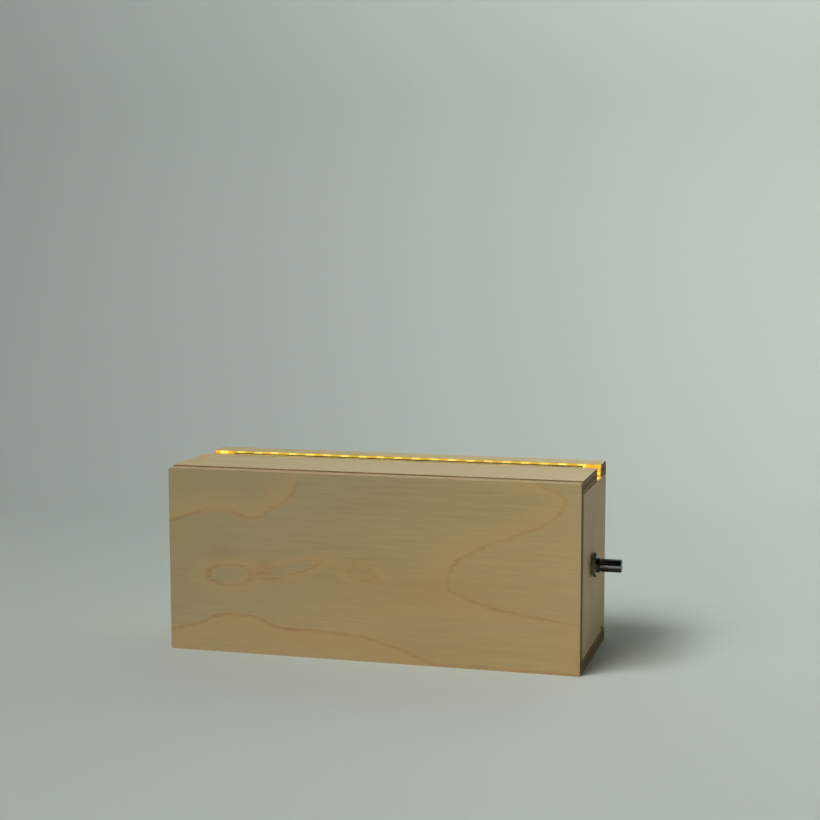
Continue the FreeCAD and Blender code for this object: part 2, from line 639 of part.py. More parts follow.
def make_movement_frame():
    comb_holes = []
    base_holes = []
    comb_screws = []
    for number, (x, y) in enumerate(comb_screw_places()):
        comb_holes.append(round_bar("bed_comb_hole_%d" % number, "z", MACHINE_RADIUS, s("ply"),
                                    add(BED_TOP, 1), (x, y)))
        base_holes.append(round_bar("base_hole_%d" % number, "z", MACHINE_RADIUS, s("ply"),
                                    add(COMB_LOW, 1), (x, y)))
        comb_screws.append(cheese_head_down("comb_screw_%d" % number, x, y, COMB_HIGH, add(s("ply"), 0.3)))
    base_blank = box("comb_base_blank", (COMB_LEFT, COMB_RIGHT), (add(COMB_ROOT, 0.5), COMB_REAR),
                     (BED_TOP, COMB_LOW))
    node(cut("comb_base", base_blank, base_holes))
    node(group("comb_screws", comb_screws))

    bed_blank = box("bedplate_blank", (s("bed_left"), s("bed_right")), (s("bed_front"), s("bed_rear")),
                    (s("ply"), BED_TOP))
    bed_holes = list(comb_holes)
    bed_screws = []
    for number, (x, y) in enumerate(BED_SCREWS):
        bed_holes.append(countersunk_down("bed_sink_%d" % number, x, y, BED_TOP, 8))
        bed_screws.append(countersunk_down("bedplate_screw_%d" % number, x, y, BED_TOP, 8))
    foot_top = add(BED_TOP, s("foot_thickness"))
    bracket_screws = []
    for number, (x, side) in enumerate(BRACKET_SCREWS):
        y = bracket_screw_y(side)
        bed_holes.append(round_bar("bed_bracket_hole_%d" % number, "z", MACHINE_RADIUS, sub(s("ply"), 1),
                                   add(BED_TOP, 1), (x, y)))
        screw = cheese_head_down("bracket_screw_%d" % number, x, y, foot_top, add(s("ply"), 0.3))
        bracket_screws.append(screw)
    node(cut("bedplate", bed_blank, bed_holes))
    node(group("bedplate_screws", bed_screws))
    node(group("bracket_screws", bracket_screws))


def bracket(label, plate, foot, top, screw_x, bores):
    """An upright bearing plate with a foot, bored for the axles that run in it."""
    width = (sub(CRANK_Y, s("bracket_half_width")), add(CRANK_Y, s("bracket_half_width")))
    upright = box(label + "_plate", plate, width, (BED_TOP, top))
    toe = box(label + "_foot", foot, width, (BED_TOP, add(BED_TOP, s("foot_thickness"))))
    tools = []
    for number, (radius, z) in enumerate(bores):
        tools.append(round_bar("%s_bore_%d" % (label, number), "x", radius, sub(plate[0], 1),
                               add(plate[1], 1), (CRANK_Y, z)))
    for side in ("minus", "plus"):
        tools.append(round_bar("%s_hole_%s" % (label, side), "z", MACHINE_RADIUS, sub(BED_TOP, 1),
                               add(BED_TOP, 6), (screw_x, bracket_screw_y(side))))
    node(cut(label, fuse(label + "_blank", [upright, toe]), tools))


def make_brackets():
    arbor_bore = add(ARBOR_RADIUS, s("running_clearance"))
    bracket("bracket_right", (BRACKET_R_INNER, BRACKET_R),
            (BRACKET_R_INNER, add(BRACKET_R, s("foot_thickness"), 3)),
            add(CRANK_Z, s("bracket_margin")), 70.0, [(arbor_bore, BARREL_Z), (BORE_RADIUS, CRANK_Z)])
    bracket("bracket_left", (BRACKET_L, BRACKET_L_INNER),
            (sub(BRACKET_L, s("bracket_foot")), BRACKET_L_INNER),
            add(BARREL_Z, s("bracket_margin")), -6.75, [(arbor_bore, BARREL_Z)])


# ---------------------------------------------------------------- light tape
def make_light_tape():
    node(box("light_tape", (add(LEFT, s("tape_end_gap")), TAPE_RIGHT), (TAPE_FACE, SLOT_REAR),
             (s("tape_low"), s("tape_high"))))
    lamps = []
    for number in range(int(size("led_count"))):
        middle = add(s("led_first"), "(%d * Sizes.led_pitch)" % number)
        lamps.append(box("lamp_%d" % number, around(middle, s("led_length")),
                         (sub(TAPE_FACE, s("led_depth")), TAPE_FACE),
                         (s("led_low"), add(s("led_low"), s("led_height")))))
    node(group("light_tape_lamps", lamps))
    pads = []
    for name in ("upper", "lower"):
        centre = sub(s(name + "_wire_height"), s("pad_drop"))
        pads.append(box("pad_" + name, (PAD_LEFT, sub(TAPE_RIGHT, 0.3)),
                        (sub(TAPE_FACE, s("pad_depth")), TAPE_FACE), around(centre, s("pad_height"))))
    node(group("light_tape_pads", pads))


def bent_wire(label, corners, bend):
    """A round wire along straight runs joined by arcs."""
    points = [FreeCAD.Vector(*[value(str(term)) for term in corner]) for corner in corners]
    pieces = []
    start = points[0]
    for number in range(1, len(points) - 1):
        before = (points[number] - points[number - 1]).normalize()
        after = (points[number + 1] - points[number]).normalize()
        reach = bend * math.tan(before.getAngle(after) / 2)
        arc_start = points[number] - before * reach
        arc_end = points[number] + after * reach
        inward = (after - before).normalize()
        sag = bend / math.cos(before.getAngle(after) / 2) - bend
        pieces.append(Part.LineSegment(start, arc_start).toShape())
        pieces.append(Part.Arc(arc_start, points[number] + inward * sag, arc_end).toShape())
        start = arc_end
    pieces.append(Part.LineSegment(start, points[-1]).toShape())
    path = Part.Wire(pieces)
    direction = (points[1] - points[0]).normalize()
    profile = Part.Wire(Part.makeCircle(size("wire_diameter") / 2, points[0], direction))
    return feature(label, path.makePipeShell([profile], True, False))


def make_wires():
    bend = size("wire_bend")
    lane = sub(TAPE_FACE, s("wire_gap"), WIRE_RADIUS)
    wire_end = sub(PAD_LEFT, 0.1)
    upper = s("upper_wire_height")
    lower = s("lower_wire_height")
    terminal_z = 14
    outer_x = add(LEFT_INSIDE, 3)
    inner_x = add(LEFT_INSIDE, 8)
    behind_switch = sub(SWITCH_BODY_FRONT, 10)
    tab_end = sub(SWITCH_BODY_FRONT, 4.1)
    holder_back = 8
    holder_front_terminal = -15
    node(bent_wire("tape_wire_negative", [
        (wire_end, lane, upper), (outer_x, lane, upper), (outer_x, lane, terminal_z),
        (outer_x, holder_back, terminal_z), (sub(s("holder_left"), 0.1), holder_back, terminal_z)], 3.9))
    node(bent_wire("tape_wire_positive", [
        (wire_end, lane, lower), (inner_x, lane, lower), (inner_x, lane, 62),
        (inner_x, behind_switch, s("switch_height")),
        (sub(s("switch_x"), 3), behind_switch, s("switch_height")),
        (sub(s("switch_x"), 3), tab_end, s("switch_height"))], bend))
    node(bent_wire("switch_wire", [
        (add(s("switch_x"), 3), tab_end, s("switch_height")),
        (add(s("switch_x"), 3), behind_switch, s("switch_height")),
        (add(HOLDER_RIGHT, 6), behind_switch, s("switch_height")),
        (add(HOLDER_RIGHT, 6), behind_switch, terminal_z),
        (add(HOLDER_RIGHT, 6), holder_front_terminal, terminal_z),
        (add(HOLDER_RIGHT, 0.1), holder_front_terminal, terminal_z)], bend))


# ---------------------------------------------------------------- battery holder
CELL_MIDDLE = add(s("holder_front"), half(s("holder_width")))


def bay_middle(number):
    return add(s("holder_front"), half(s("holder_wall")), "(%.1f * %s)" % (number + 0.5, BAY_PITCH))


def bow_spring(label, side, plate_face, y, z):
    """A bowed strip on a contact plate, pressing on a cell's flat end. Side is the way it bows along X."""
    sunk = sub(s("bow_radius"), s("bow_reach"))
    if side > 0:
        middle = sub(plate_face, sunk)
        behind = (sub(middle, s("bow_radius"), 1), plate_face)
    else:
        middle = add(plate_face, sunk)
        behind = (plate_face, add(middle, s("bow_radius"), 1))
    across = around(y, s("bow_width"))
    outer = round_bar(label + "_outer", "y", s("bow_radius"), across[0], across[1], (middle, z))
    inner = round_bar(label + "_inner", "y", sub(s("bow_radius"), s("bow_thickness")), sub(across[0], 1),
                      add(across[1], 1), (middle, z))
    wall = box(label + "_behind", behind, (sub(across[0], 1), add(across[1], 1)),
               (sub(z, s("bow_radius"), 1), add(z, s("bow_radius"), 1)))
    return cut(label, outer, [inner, wall])


def make_battery():
    left, right = s("holder_left"), HOLDER_RIGHT
    wall = s("holder_wall")
    cell_radius = half(s("cell_diameter"))
    cell_z = add(HOLDER_FLOOR, s("cell_gap"), cell_radius)
    blank = box("holder_blank", (left, right), (s("holder_front"), HOLDER_REAR), (s("ply"), HOLDER_TOP))
    tools = []
    cells = []
    contacts = []
    springs = []
    plate = s("contact_thickness")
    nose_radius, nose_length = "1.9", "0.8"
    for number in range(3):
        middle = bay_middle(number)
        half_bay = "(%s / 2 - Sizes.holder_wall / 2)" % BAY_PITCH
        tools.append(box("bay_%d" % number, (add(left, wall), sub(right, wall)),
                         (sub(middle, half_bay), add(middle, half_bay)), (HOLDER_FLOOR, add(HOLDER_TOP, 1))))
        reversed_cell = number == 1
        left_face = add(left, wall, plate)
        right_face = sub(right, wall, plate)
        axis = (middle, cell_z)
        if reversed_cell:
            shoulder = add(left_face, nose_length)
            nose = round_bar("nose_%d" % number, "x", nose_radius, left_face, shoulder, axis)
            far_end = add(left_face, s("cell_length"))
            can = round_bar("can_%d" % number, "x", cell_radius, shoulder, far_end, axis)
            spring = bow_spring("spring_%d" % number, -1, right_face, middle, cell_z)
        else:
            shoulder = sub(right_face, nose_length)
            nose = round_bar("nose_%d" % number, "x", nose_radius, shoulder, right_face, axis)
            far_end = sub(right_face, s("cell_length"))
            can = round_bar("can_%d" % number, "x", cell_radius, far_end, shoulder, axis)
            spring = bow_spring("spring_%d" % number, 1, left_face, middle, cell_z)
        cells.append(fuse("cell_%d" % number, [nose, can]))
        springs.append(spring)
        for name, start in (("left", add(left, wall)), ("right", right_face)):
            contacts.append(box("contact_%s_%d" % (name, number), (start, add(start, plate)),
                                around(middle, 8), (add(HOLDER_FLOOR, 0.5), sub(HOLDER_TOP, 1.5))))
    screws = []
    for number, x in enumerate(HOLDER_SCREWS):
        tools.append(countersunk_down("holder_sink_%d" % number, x, CELL_MIDDLE, HOLDER_FLOOR, 6.5))
        screws.append(countersunk_down("holder_screw_%d" % number, x, CELL_MIDDLE, HOLDER_FLOOR, 6.5))
    node(cut("battery_holder", blank, tools))
    node(group("battery_cells", cells))
    node(group("battery_contacts", contacts))
    node(group("battery_springs", springs))
    node(group("battery_holder_screws", screws))


# ---------------------------------------------------------------- slide switch
def switch_window():
    return box("switch_window", around(s("switch_x"), add(s("knob_length"), s("switch_travel"), 1)),
               (sub(REAR_INSIDE, 1), add(REAR, 1)), around(s("switch_height"), add(s("knob_width"), 1.4)))


def ear_screws(label):
    """The two small wood screws that hold the switch plate, pointing rearward."""
    screws = []
    for name, side in (("left", -1), ("right", 1)):
        x = add(s("switch_x"), "(%d * Sizes.ear_screw_span / 2)" % side)
        place = (x, s("switch_height"))
        head = round_bar("%s_head_%s" % (label, name), "y", "1.8", sub(SWITCH_BODY_REAR, 1.3),
                         SWITCH_BODY_REAR, place)
        shank = round_bar("%s_shank_%s" % (label, name), "y", "0.9", SWITCH_BODY_REAR,
                          add(REAR_INSIDE, 4.5), place)
        screws.append(fuse("%s_%s" % (label, name), [head, shank]))
    return screws


def make_switch():
    x, z = s("switch_x"), s("switch_height")
    travel_length = add(s("knob_length"), s("switch_travel"), "(2 * Sizes.knob_clearance)")
    knob_window = around(z, add(s("knob_width"), "(2 * Sizes.knob_clearance)"))
    body = box("switch_block", around(x, s("switch_length")), (SWITCH_BODY_FRONT, SWITCH_BODY_REAR),
               around(z, s("switch_width")))
    ears = box("switch_ears_plate", around(x, s("switch_ears")), (SWITCH_BODY_REAR, REAR_INSIDE),
               around(z, s("switch_width")))
    tabs = [box("switch_tab_%d" % (shift + 3), around(add(x, shift), 0.5),
                (sub(SWITCH_BODY_FRONT, 4), SWITCH_BODY_FRONT), around(z, 2)) for shift in (-3, 0, 3)]
    channel = box("switch_channel", around(x, travel_length), (sub(SWITCH_BODY_REAR, 3.5), SWITCH_BODY_REAR),
                  around(z, add(s("knob_width"), 2.6)))
    window = box("switch_plate_window", around(x, travel_length),
                 (sub(SWITCH_BODY_REAR, 0.1), add(REAR_INSIDE, 1)), knob_window)
    blank = fuse("switch_blank", [body, ears] + tabs)
    node(cut("switch_body", blank, [channel, window] + ear_screws("plate_ear")))
    node(group("switch_screws", ear_screws("switch_screw")))

    start = sub(x, half(add(s("knob_length"), s("switch_travel"))))
    span = (start, add(start, s("knob_length")))
    foot_front = sub(SWITCH_BODY_REAR, 3.2)
    foot = box("slider_foot", span, (foot_front, add(foot_front, 2)), around(z, add(s("knob_width"), 2)))
    knob = box("slider_knob", span, (foot_front, sub(REAR, 0.3)), around(z, s("knob_width")))
    node(fuse("switch_slider", [foot, knob]))


# ---------------------------------------------------------------- build and export
make_case()
make_crank_shaft()
make_bushing()
make_gears()
make_cylinder()
make_comb()
make_movement_frame()
make_brackets()
make_light_tape()
make_wires()
make_battery()
make_switch()
doc.recompute()

for item in doc.Objects:
    broken = [state for state in item.State if state in ("Invalid", "Error")]
    if broken:
        raise RuntimeError("%s is %s" % (item.Label, broken))

for item in nodes:
    shape = item.Shape
    if shape.isNull() or not shape.isValid() or not shape.Solids:
        raise RuntimeError("%s has no valid shape" % item.Label)
    shape.exportStep("parts/%s.step" % item.Label)
    print("%-24s solids %3d  volume %10.2f" % (item.Label, len(shape.Solids), shape.Volume))
print("nodes", len(nodes))
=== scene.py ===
"""The looks of a hand-cranked music box: soft edges, materials, stage, lights and camera.

Lengths are in metres, in the part's own frame: X to the right along the case, Y to the back and Z up, with
the origin in the middle of the underside.
"""
import math

import bpy
from mathutils import Matrix, Vector


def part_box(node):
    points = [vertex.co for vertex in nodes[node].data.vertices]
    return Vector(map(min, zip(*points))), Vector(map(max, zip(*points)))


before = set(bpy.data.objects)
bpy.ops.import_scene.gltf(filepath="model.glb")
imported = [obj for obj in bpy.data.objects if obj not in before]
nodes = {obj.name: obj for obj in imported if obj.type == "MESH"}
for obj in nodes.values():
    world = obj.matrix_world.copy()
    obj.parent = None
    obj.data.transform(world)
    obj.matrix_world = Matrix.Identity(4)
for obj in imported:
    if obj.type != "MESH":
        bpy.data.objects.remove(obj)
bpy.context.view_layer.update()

MM = 0.001
X, Y, Z = 0, 1, 2
SPLINES = 18
LAMPS = 21
LAMP_LENGTH = 3.8 * MM


# ---------------------------------------------------------------- shader helpers
class Shader:
    """A node material being put together. Its methods add nodes and return the sockets that they give out."""

    def __init__(self, name):
        self.material = bpy.data.materials.new(name)
        self.material.use_nodes = True
        self.tree = self.material.node_tree
        self.surface = self.tree.nodes["Principled BSDF"]
        self.place = self.add("TexCoord").outputs["Object"]

    def add(self, kind, inputs=None, **settings):
        made = self.tree.nodes.new("ShaderNode" + kind)
        for setting, value in settings.items():
            setattr(made, setting, value)
        for socket, value in (inputs or {}).items():
            self.feed(made.inputs[socket], value)
        return made

    def feed(self, socket, value):
        """Links a socket to another one, or sets it to a plain number, vector or colour."""
        if isinstance(value, bpy.types.NodeSocket):
            self.tree.links.new(value, socket)
        elif socket.type == "RGBA" and len(value) == 3:
            socket.default_value = (*value, 1)
        else:
            socket.default_value = value

    def calc(self, operation, *values):
        """The outcome of a sum on sockets or plain numbers."""
        return self.add("Math", dict(enumerate(values)), operation=operation).outputs[0]

    def times(self, first, second):
        return self.calc("MULTIPLY", first, second)

    def total(self, first, *others):
        for other in others:
            first = self.calc("ADD", first, other)
        return first

    def axis(self, axis):
        return self.add("SeparateXYZ", {0: self.place}).outputs[axis]

    def noise(self, per_metre, detail=3, roughness=0.5, shift=0):
        """Smooth noise around 0.5, with a number of features per metre along each axis."""
        shifts = (shift, shift, shift)
        placed = self.add("Mapping", {"Vector": self.place, "Location": shifts, "Scale": per_metre})
        inputs = {"Vector": placed.outputs[0], "Scale": 1, "Detail": detail, "Roughness": roughness}
        return self.add("TexNoise", inputs).outputs[0]

    def remap(self, value, low, high, to_low=0, to_high=1, curve="LINEAR"):
        inputs = {"Value": value, "From Min": low, "From Max": high, "To Min": to_low, "To Max": to_high}
        return self.add("MapRange", inputs, interpolation_type=curve).outputs[0]

    def mix(self, factor, first, second):
        made = self.add("Mix", data_type="RGBA")
        for socket, value in ((0, factor), (6, first), (7, second)):
            self.feed(made.inputs[socket], value)
        return made.outputs[2]

    def ramp(self, value, stops, interpolation="LINEAR"):
        """Colours along a value from 0 to 1. Stops are (position, colour)."""
        made = self.add("ValToRGB", {0: value})
        made.color_ramp.interpolation = interpolation
        marks = made.color_ramp.elements
        while len(marks) < len(stops):
            marks.new(1)
        for mark, (position, colour) in zip(marks, stops):
            mark.position = position
            mark.color = (*colour, 1)
        return made.outputs[0]

    def curve(self, value, points):
        """A smooth line through (in, out) points, read at a value."""
        made = self.add("FloatCurve", {"Value": value})
        mapping = made.mapping
        mapping.use_clip = False
        line = mapping.curves[0].points
        while len(line) < len(points):
            line.new(0, 0)
        for mark, place in zip(line, points):
            mark.location = place
        mapping.update()
        return made.outputs[0]

    def edge(self, radius):
        """1 along the edges of the piece, within about that radius, and 0 on its flat faces."""
        rounded = self.add("Bevel", {"Radius": radius}, samples=4).outputs[0]
        flat = self.add("NewGeometry").outputs["True Normal"]
        dot = self.add("VectorMath", {0: rounded, 1: flat}, operation="DOT_PRODUCT").outputs["Value"]
        return self.remap(dot, 0.99, 0.8)

    def bump(self, height, depth):
        self.feed(self.surface.inputs["Normal"],
                  self.add("Bump", {"Height": height, "Distance": depth, "Strength": 1}).outputs[0])

    def finish(self, **sockets):
        """Sets the surface's inputs, named in lower case, such as base_color, and returns the material."""
        for name, value in sockets.items():
            self.feed(self.surface.inputs[name.replace("_", " ").title()], value)
        return self.material


def evenly(per_metre):
    """The same number of features per metre along every axis."""
    return (per_metre, per_metre, per_metre)


def along(axis, lengthwise, across):
    """Features per metre along each axis, for grain that runs along one axis."""
    return tuple(lengthwise if each == axis else across for each in (X, Y, Z))


# ---------------------------------------------------------------- wood
WOOD_PALE = (0.675, 0.56, 0.31)
WOOD_DARK = (0.56, 0.435, 0.215)
SIDE_PALE = (0.73, 0.50, 0.24)
SIDE_DARK = (0.61, 0.39, 0.165)
FRONT_PALE = (0.60, 0.455, 0.22)
FRONT_DARK = (0.50, 0.36, 0.165)
# The warm colour below serves the warmth beside ring lines and also painted light towards the front's lower
# right; the grey is painted shade towards its upper left.
FRONT_WARM_AND_LIT = (0.64, 0.415, 0.175)
FRONT_SHADE_GREY = (0.42, 0.335, 0.17)
BLUSH = (0.62, 0.44, 0.26)
PORE_BROWN = (0.30, 0.20, 0.10)
RING_BROWN = (0.42, 0.215, 0.075)
# How a board's five plies share its thickness, and half of a glue line, also as a share of it.
PLY_SHARES = (0.15, 0.15, 0.40, 0.15, 0.15)
GLUE_HALF = 0.012
# Cut edges: the colours of end grain, of long grain and of the glue lines. The first set is for a board's
# long edges, BURNT for its two ends and SANDED for the front panel's long edges. The long edges' colours are
# darker
# than BURNT: partly laser char, partly painted shade for the dark line along the deck's front edge.
CHARRED_AND_SHADED = ((0.15, 0.085, 0.032), (0.36, 0.25, 0.13), (0.075, 0.042, 0.018))
BURNT = ((0.205, 0.105, 0.030), (0.50, 0.31, 0.13), (0.10, 0.050, 0.016))
SANDED = ((0.44, 0.31, 0.155), (0.66, 0.53, 0.29), (0.32, 0.21, 0.09))


def birch_figure(shader, grain, shift, pale=WOOD_PALE, dark=WOOD_DARK):
    """The colour and relief of rotary-cut birch: broad bands, fine fibres and short pores along the grain."""
    bands = shader.noise(along(grain, 6, 45), detail=3, shift=shift)
    fibres = shader.noise(along(grain, 35, 900), detail=4, roughness=0.6, shift=shift)
    fleck = shader.noise(along(grain, 260, 1500), detail=2, shift=shift + 3)
    pores = shader.remap(fleck, 0.70, 0.78)
    hairs = shader.noise(along(grain, 60, 1100), detail=2, roughness=0.7, shift=shift + 5)
    tone = shader.total(shader.times(bands, 0.5), shader.times(fibres, 0.5))
    colour = shader.mix(shader.remap(tone, 0.35, 0.65), pale, dark)
    hair_brown = tuple(part * 0.68 for part in dark)
    colour = shader.mix(shader.remap(hairs, 0.35, 0.65, 0, 0.30), colour, hair_brown)
    blush = shader.noise(evenly(9), detail=1, shift=shift + 7)
    colour = shader.mix(shader.remap(blush, 0.4, 0.7, 0, 0.35), colour, BLUSH)
    colour = shader.mix(shader.times(pores, 0.35), colour, PORE_BROWN)
    return colour, shader.calc("SUBTRACT", fibres, pores)


def sanded_face(shader, colour, relief):
    """Bare sanded veneer: a faint relief, glossier where the wood stands proud."""
    shader.bump(relief, 0.04 * MM)
    return shader.finish(base_color=colour, roughness=shader.remap(relief, 0.2, 0.8, 0.62, 0.5))


def veneer(name, grain, shift, pale=WOOD_PALE, dark=WOOD_DARK):
    shader = Shader(name)
    return sanded_face(shader, *birch_figure(shader, grain, shift, pale, dark))


def ply_edge(name, node, thickness, grain_ends, shift, colours=BURNT):
    """The five plies on a board's cut edge. On grain_ends the outer and middle plies show their end grain."""
    shader = Shader(name)
    low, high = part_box(node)
    depth = shader.remap(shader.axis(thickness), low[thickness], high[thickness])
    wander = shader.noise(evenly(60), detail=2, shift=shift)
    depth = shader.total(depth, shader.remap(wander, 0, 1, -0.02, 0.02))
    end_grain, long_grain, glue = colours
    stops = []
    start = 0
    for ply, share in enumerate(PLY_SHARES):
        shows_end = (ply % 2 == 0) == grain_ends
        if ply:
            stops.append((start - GLUE_HALF, glue))
        stops.append((start + GLUE_HALF if ply else 0, end_grain if shows_end else long_grain))
        start += share
    layers = shader.ramp(depth, stops, "CONSTANT")
    speckle = shader.noise(evenly(1400), detail=3, shift=shift)
    scorch = shader.noise(evenly(90), detail=2, shift=shift + 5)
    colour = shader.mix(shader.remap(speckle, 0.35, 0.7, 0, 0.45), layers, glue)
    colour = shader.mix(shader.remap(scorch, 0.45, 0.75, 0, 0.4), colour, glue)
    shader.bump(speckle, 0.08 * MM)
    return shader.finish(base_color=colour, roughness=0.75)


# Growth-ring lines of the front veneer, in millimetres. The two waves run to the right: their points are how
# far right of the panel's middle and how far above the floor. The cathedral runs up, the other way about.
UPPER_WAVE = [(-98, 61), (-86, 64), (-76, 67), (-66, 66.5), (-56, 63.5), (-45, 69.5), (-39, 73), (-34, 87)]
LOWER_WAVE = [(-98, 9), (-82, 14), (-70, 18.5), (-58, 18.5), (-42, 13.5), (-9, 12.5), (10, 8.5), (30, 1)]
CATHEDRAL = [(23, 98), (25, 82), (28, 62), (33, 45), (37, 37), (44, 38), (54, 50), (62, 68), (70, 85),
             (78, 90.5), (84, 83), (88, 70)]
# Each eye is its middle, its half length and half height, and its tilt in degrees.
EYES = [((-67.5, 37), (11, 4.4), 2), ((-38, 41), (15, 2.8), 15), ((-3.5, 41), (6.5, 3.0), 0)]
# Soft brown patches round the eyes: middle, half length and half height, and strength.
PATCHES = [((-50, 39), (9, 5), 0.55), ((-72, 47.5), (7, 3.5), 0.40), ((-3.5, 44), (16, 5), 0.40),
           ((10, 37), (60, 7), 0.22)]


def past_line(shader, points, along_line, off_line):
    """How far a place stands past a line, in metres. A point of the line is (along it, away from it)."""
    start, end = points[0][0], points[-1][0]
    low = min(out for _, out in points)
    high = max(out for _, out in points)
    share = [((place - start) / (end - start), (out - low) / (high - low)) for place, out in points]

    def line_at(step):
        reading = shader.curve(shader.remap(shader.total(along_line, step * MM), start * MM, end * MM), share)
        return shader.remap(reading, 0, 1, low * MM, high * MM)

    slope = shader.calc("DIVIDE", shader.calc("SUBTRACT", line_at(1), line_at(-1)), 2 * MM)
    stretch = shader.calc("SQRT", shader.total(shader.times(slope, slope), 1))
    return shader.calc("DIVIDE", shader.calc("SUBTRACT", off_line, line_at(0)), stretch)


def ring_mark(shader, distance, sharp, soft):
    """A ring line: sharp on one side, fading on the other."""
    before = shader.remap(distance, -sharp, 0, 0, 1, "SMOOTHSTEP")
    after = shader.remap(distance, 0, soft, 1, 0, "SMOOTHSTEP")
    return shader.times(before, after)


def oval(shader, across, up, middle, halves, tilt=0):
    """Distance from the middle of a tilted oval, counted in its own half widths."""
    turn = math.radians(tilt)
    off_x = shader.calc("SUBTRACT", across, middle[0] * MM)
    off_z = shader.calc("SUBTRACT", up, middle[1] * MM)
    half_length, half_height = halves[0] * MM, halves[1] * MM
    long_way = shader.total(shader.times(off_x, math.cos(turn) / half_length),
                            shader.times(off_z, math.sin(turn) / half_length))
    short_way = shader.total(shader.times(off_z, math.cos(turn) / half_height),
                             shader.times(off_x, -math.sin(turn) / half_height))
    return shader.calc("SQRT", shader.total(shader.times(long_way, long_way),
                                            shader.times(short_way, short_way)))


def ring_figure(shader):
    """How strongly each place shows a ring line, and the warmer wood beside one: both from 0 to 1."""
    ripple = shader.remap(shader.noise((25, 25, 45), detail=4, roughness=0.6), 0, 1, -3 * MM, 3 * MM)
    fibre_ends = shader.noise((40, 40, 1300), detail=3, roughness=0.7, shift=6)
    ragged = shader.remap(fibre_ends, 0.2, 0.8, -2.2 * MM, 2.2 * MM)
    across = shader.total(shader.axis(X), ripple, ragged)
    up = shader.total(shader.axis(Z), shader.remap(ripple, -3 * MM, 3 * MM, 1.4 * MM, -1.4 * MM))
    distances = [
        past_line(shader, UPPER_WAVE, across, up),
        shader.times(past_line(shader, LOWER_WAVE, across, up), -1),
        shader.times(past_line(shader, CATHEDRAL, up, across), -1),
    ]
    line, warmth = 0, 0
    for distance in distances:
        line = shader.calc("MAXIMUM", line, ring_mark(shader, distance, 0.7 * MM, 2.2 * MM))
        warmth = shader.calc("MAXIMUM", warmth, ring_mark(shader, distance, 1.0 * MM, 16 * MM))
    for middle, halves, tilt in EYES:
        outside = shader.calc("SUBTRACT", oval(shader, across, up, middle, halves, tilt), 1)
        line = shader.calc("MAXIMUM", line, ring_mark(shader, outside, 0.14, 0.35))
        warmth = shader.calc("MAXIMUM", warmth, ring_mark(shader, outside, 0.3, 1.6))
    for middle, halves, strength in PATCHES:
        from_middle = oval(shader, across, up, middle, halves)
        patch = shader.remap(from_middle, 0.2, 1.6, strength, 0, "SMOOTHSTEP")
        line = shader.calc("MAXIMUM", line, patch)
    return line, warmth


def front_veneer():
    """The front panel's veneer: horizontal grain with three long ring lines and three closed eyes."""
    shader = Shader("front_veneer")
    colour, relief = birch_figure(shader, X, 0, FRONT_PALE, FRONT_DARK)
    # Painted light and shade: greyer and darker towards the upper left, warmer towards the lower right.
    rise = shader.total(shader.axis(Z), shader.times(shader.axis(X), -0.45))
    shaded_upper_left = shader.remap(rise, 20 * MM, 110 * MM)
    colour = shader.mix(shader.times(shaded_upper_left, 0.70), colour, FRONT_SHADE_GREY)
    colour = shader.mix(shader.remap(shaded_upper_left, 0, 0.6, 0.35, 0), colour, FRONT_WARM_AND_LIT)
    line, warmth = ring_figure(shader)
    fade = shader.remap(shader.noise((60, 60, 90), detail=3, shift=9), 0.3, 0.7, 0.25, 0.70)
    fine_streaks = shader.noise((50, 50, 900), detail=3, roughness=0.7, shift=12)
    streaks = shader.remap(fine_streaks, 0.35, 0.65, 0.35, 1.25)
    colour = shader.mix(shader.times(warmth, 0.50), colour, FRONT_WARM_AND_LIT)
    colour = shader.mix(shader.times(line, shader.times(fade, streaks)), colour, RING_BROWN)
    return sanded_face(shader, colour, relief)


# ---------------------------------------------------------------- metal, plastic and light
def groove_grime_and_shade(shader):
    """1 in the middle of each groove round the crank shaft and 0 on the crowns between two grooves. The dark
    grooves are partly grime and partly painted shade.
    """
    low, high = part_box("crank_shaft")
    off_y = shader.calc("SUBTRACT", shader.axis(Y), (low[Y] + high[Y]) / 2)
    off_z = shader.calc("SUBTRACT", shader.axis(Z), (low[Z] + high[Z]) / 2)
    turn = shader.times(shader.calc("ARCTAN2", off_z, off_y), SPLINES)
    return shader.remap(shader.calc("COSINE", turn), -0.6, 0.5, 0, 1, "SMOOTHSTEP")


def metal(name, colour, roughness, wear, per_metre=evenly(900), dirt=(0.02, 0.02, 0.02), grime_and_shade=None):
    """Metal with its colour of wear along the edges, and dirt in patches. Where the grime mask says, the dirt
    colour goes in as grime and as painted shade.
    """
    shader = Shader(name)
    brushed = shader.noise(per_metre, detail=4, roughness=0.6)
    patches = shader.noise(evenly(120), detail=3, shift=4)
    painted = shader.mix(shader.remap(patches, 0.4, 0.75, 0, 0.35), colour, dirt)
    rubbed = shader.times(shader.edge(0.15 * MM), shader.remap(patches, 0.3, 0.6))
    painted = shader.mix(rubbed, painted, wear)
    if grime_and_shade:
        painted = shader.mix(grime_and_shade(shader), painted, dirt)
    rough = shader.remap(brushed, 0.3, 0.7, roughness * 0.8, min(1, roughness * 1.25))
    shader.bump(brushed, 0.01 * MM)
    return shader.finish(base_color=painted, roughness=rough, metallic=1.0)


def plastic(name, colour, roughness):
    """Plain plastic with a fine grain, faded in patches."""
    shader = Shader(name)
    grain = shader.noise(evenly(1200), detail=3)
    patches = shader.noise(evenly(90), detail=2, shift=2)
    faded = tuple(min(1, part * 1.5 + 0.015) for part in colour)
    tinted = shader.mix(shader.remap(patches, 0.35, 0.75, 0, 0.6), colour, faded)
    rough = shader.remap(grain, 0.3, 0.7, roughness * 0.85, roughness * 1.1)
    shader.bump(grain, 0.02 * MM)
    return shader.finish(base_color=tinted, roughness=rough)


# ---------------------------------------------------------------- pieces
BOARD_EDGE = 0.3 * MM
SPLIT_CORNER = 0.002 * MM
SHARP_ANGLE = math.radians(38)


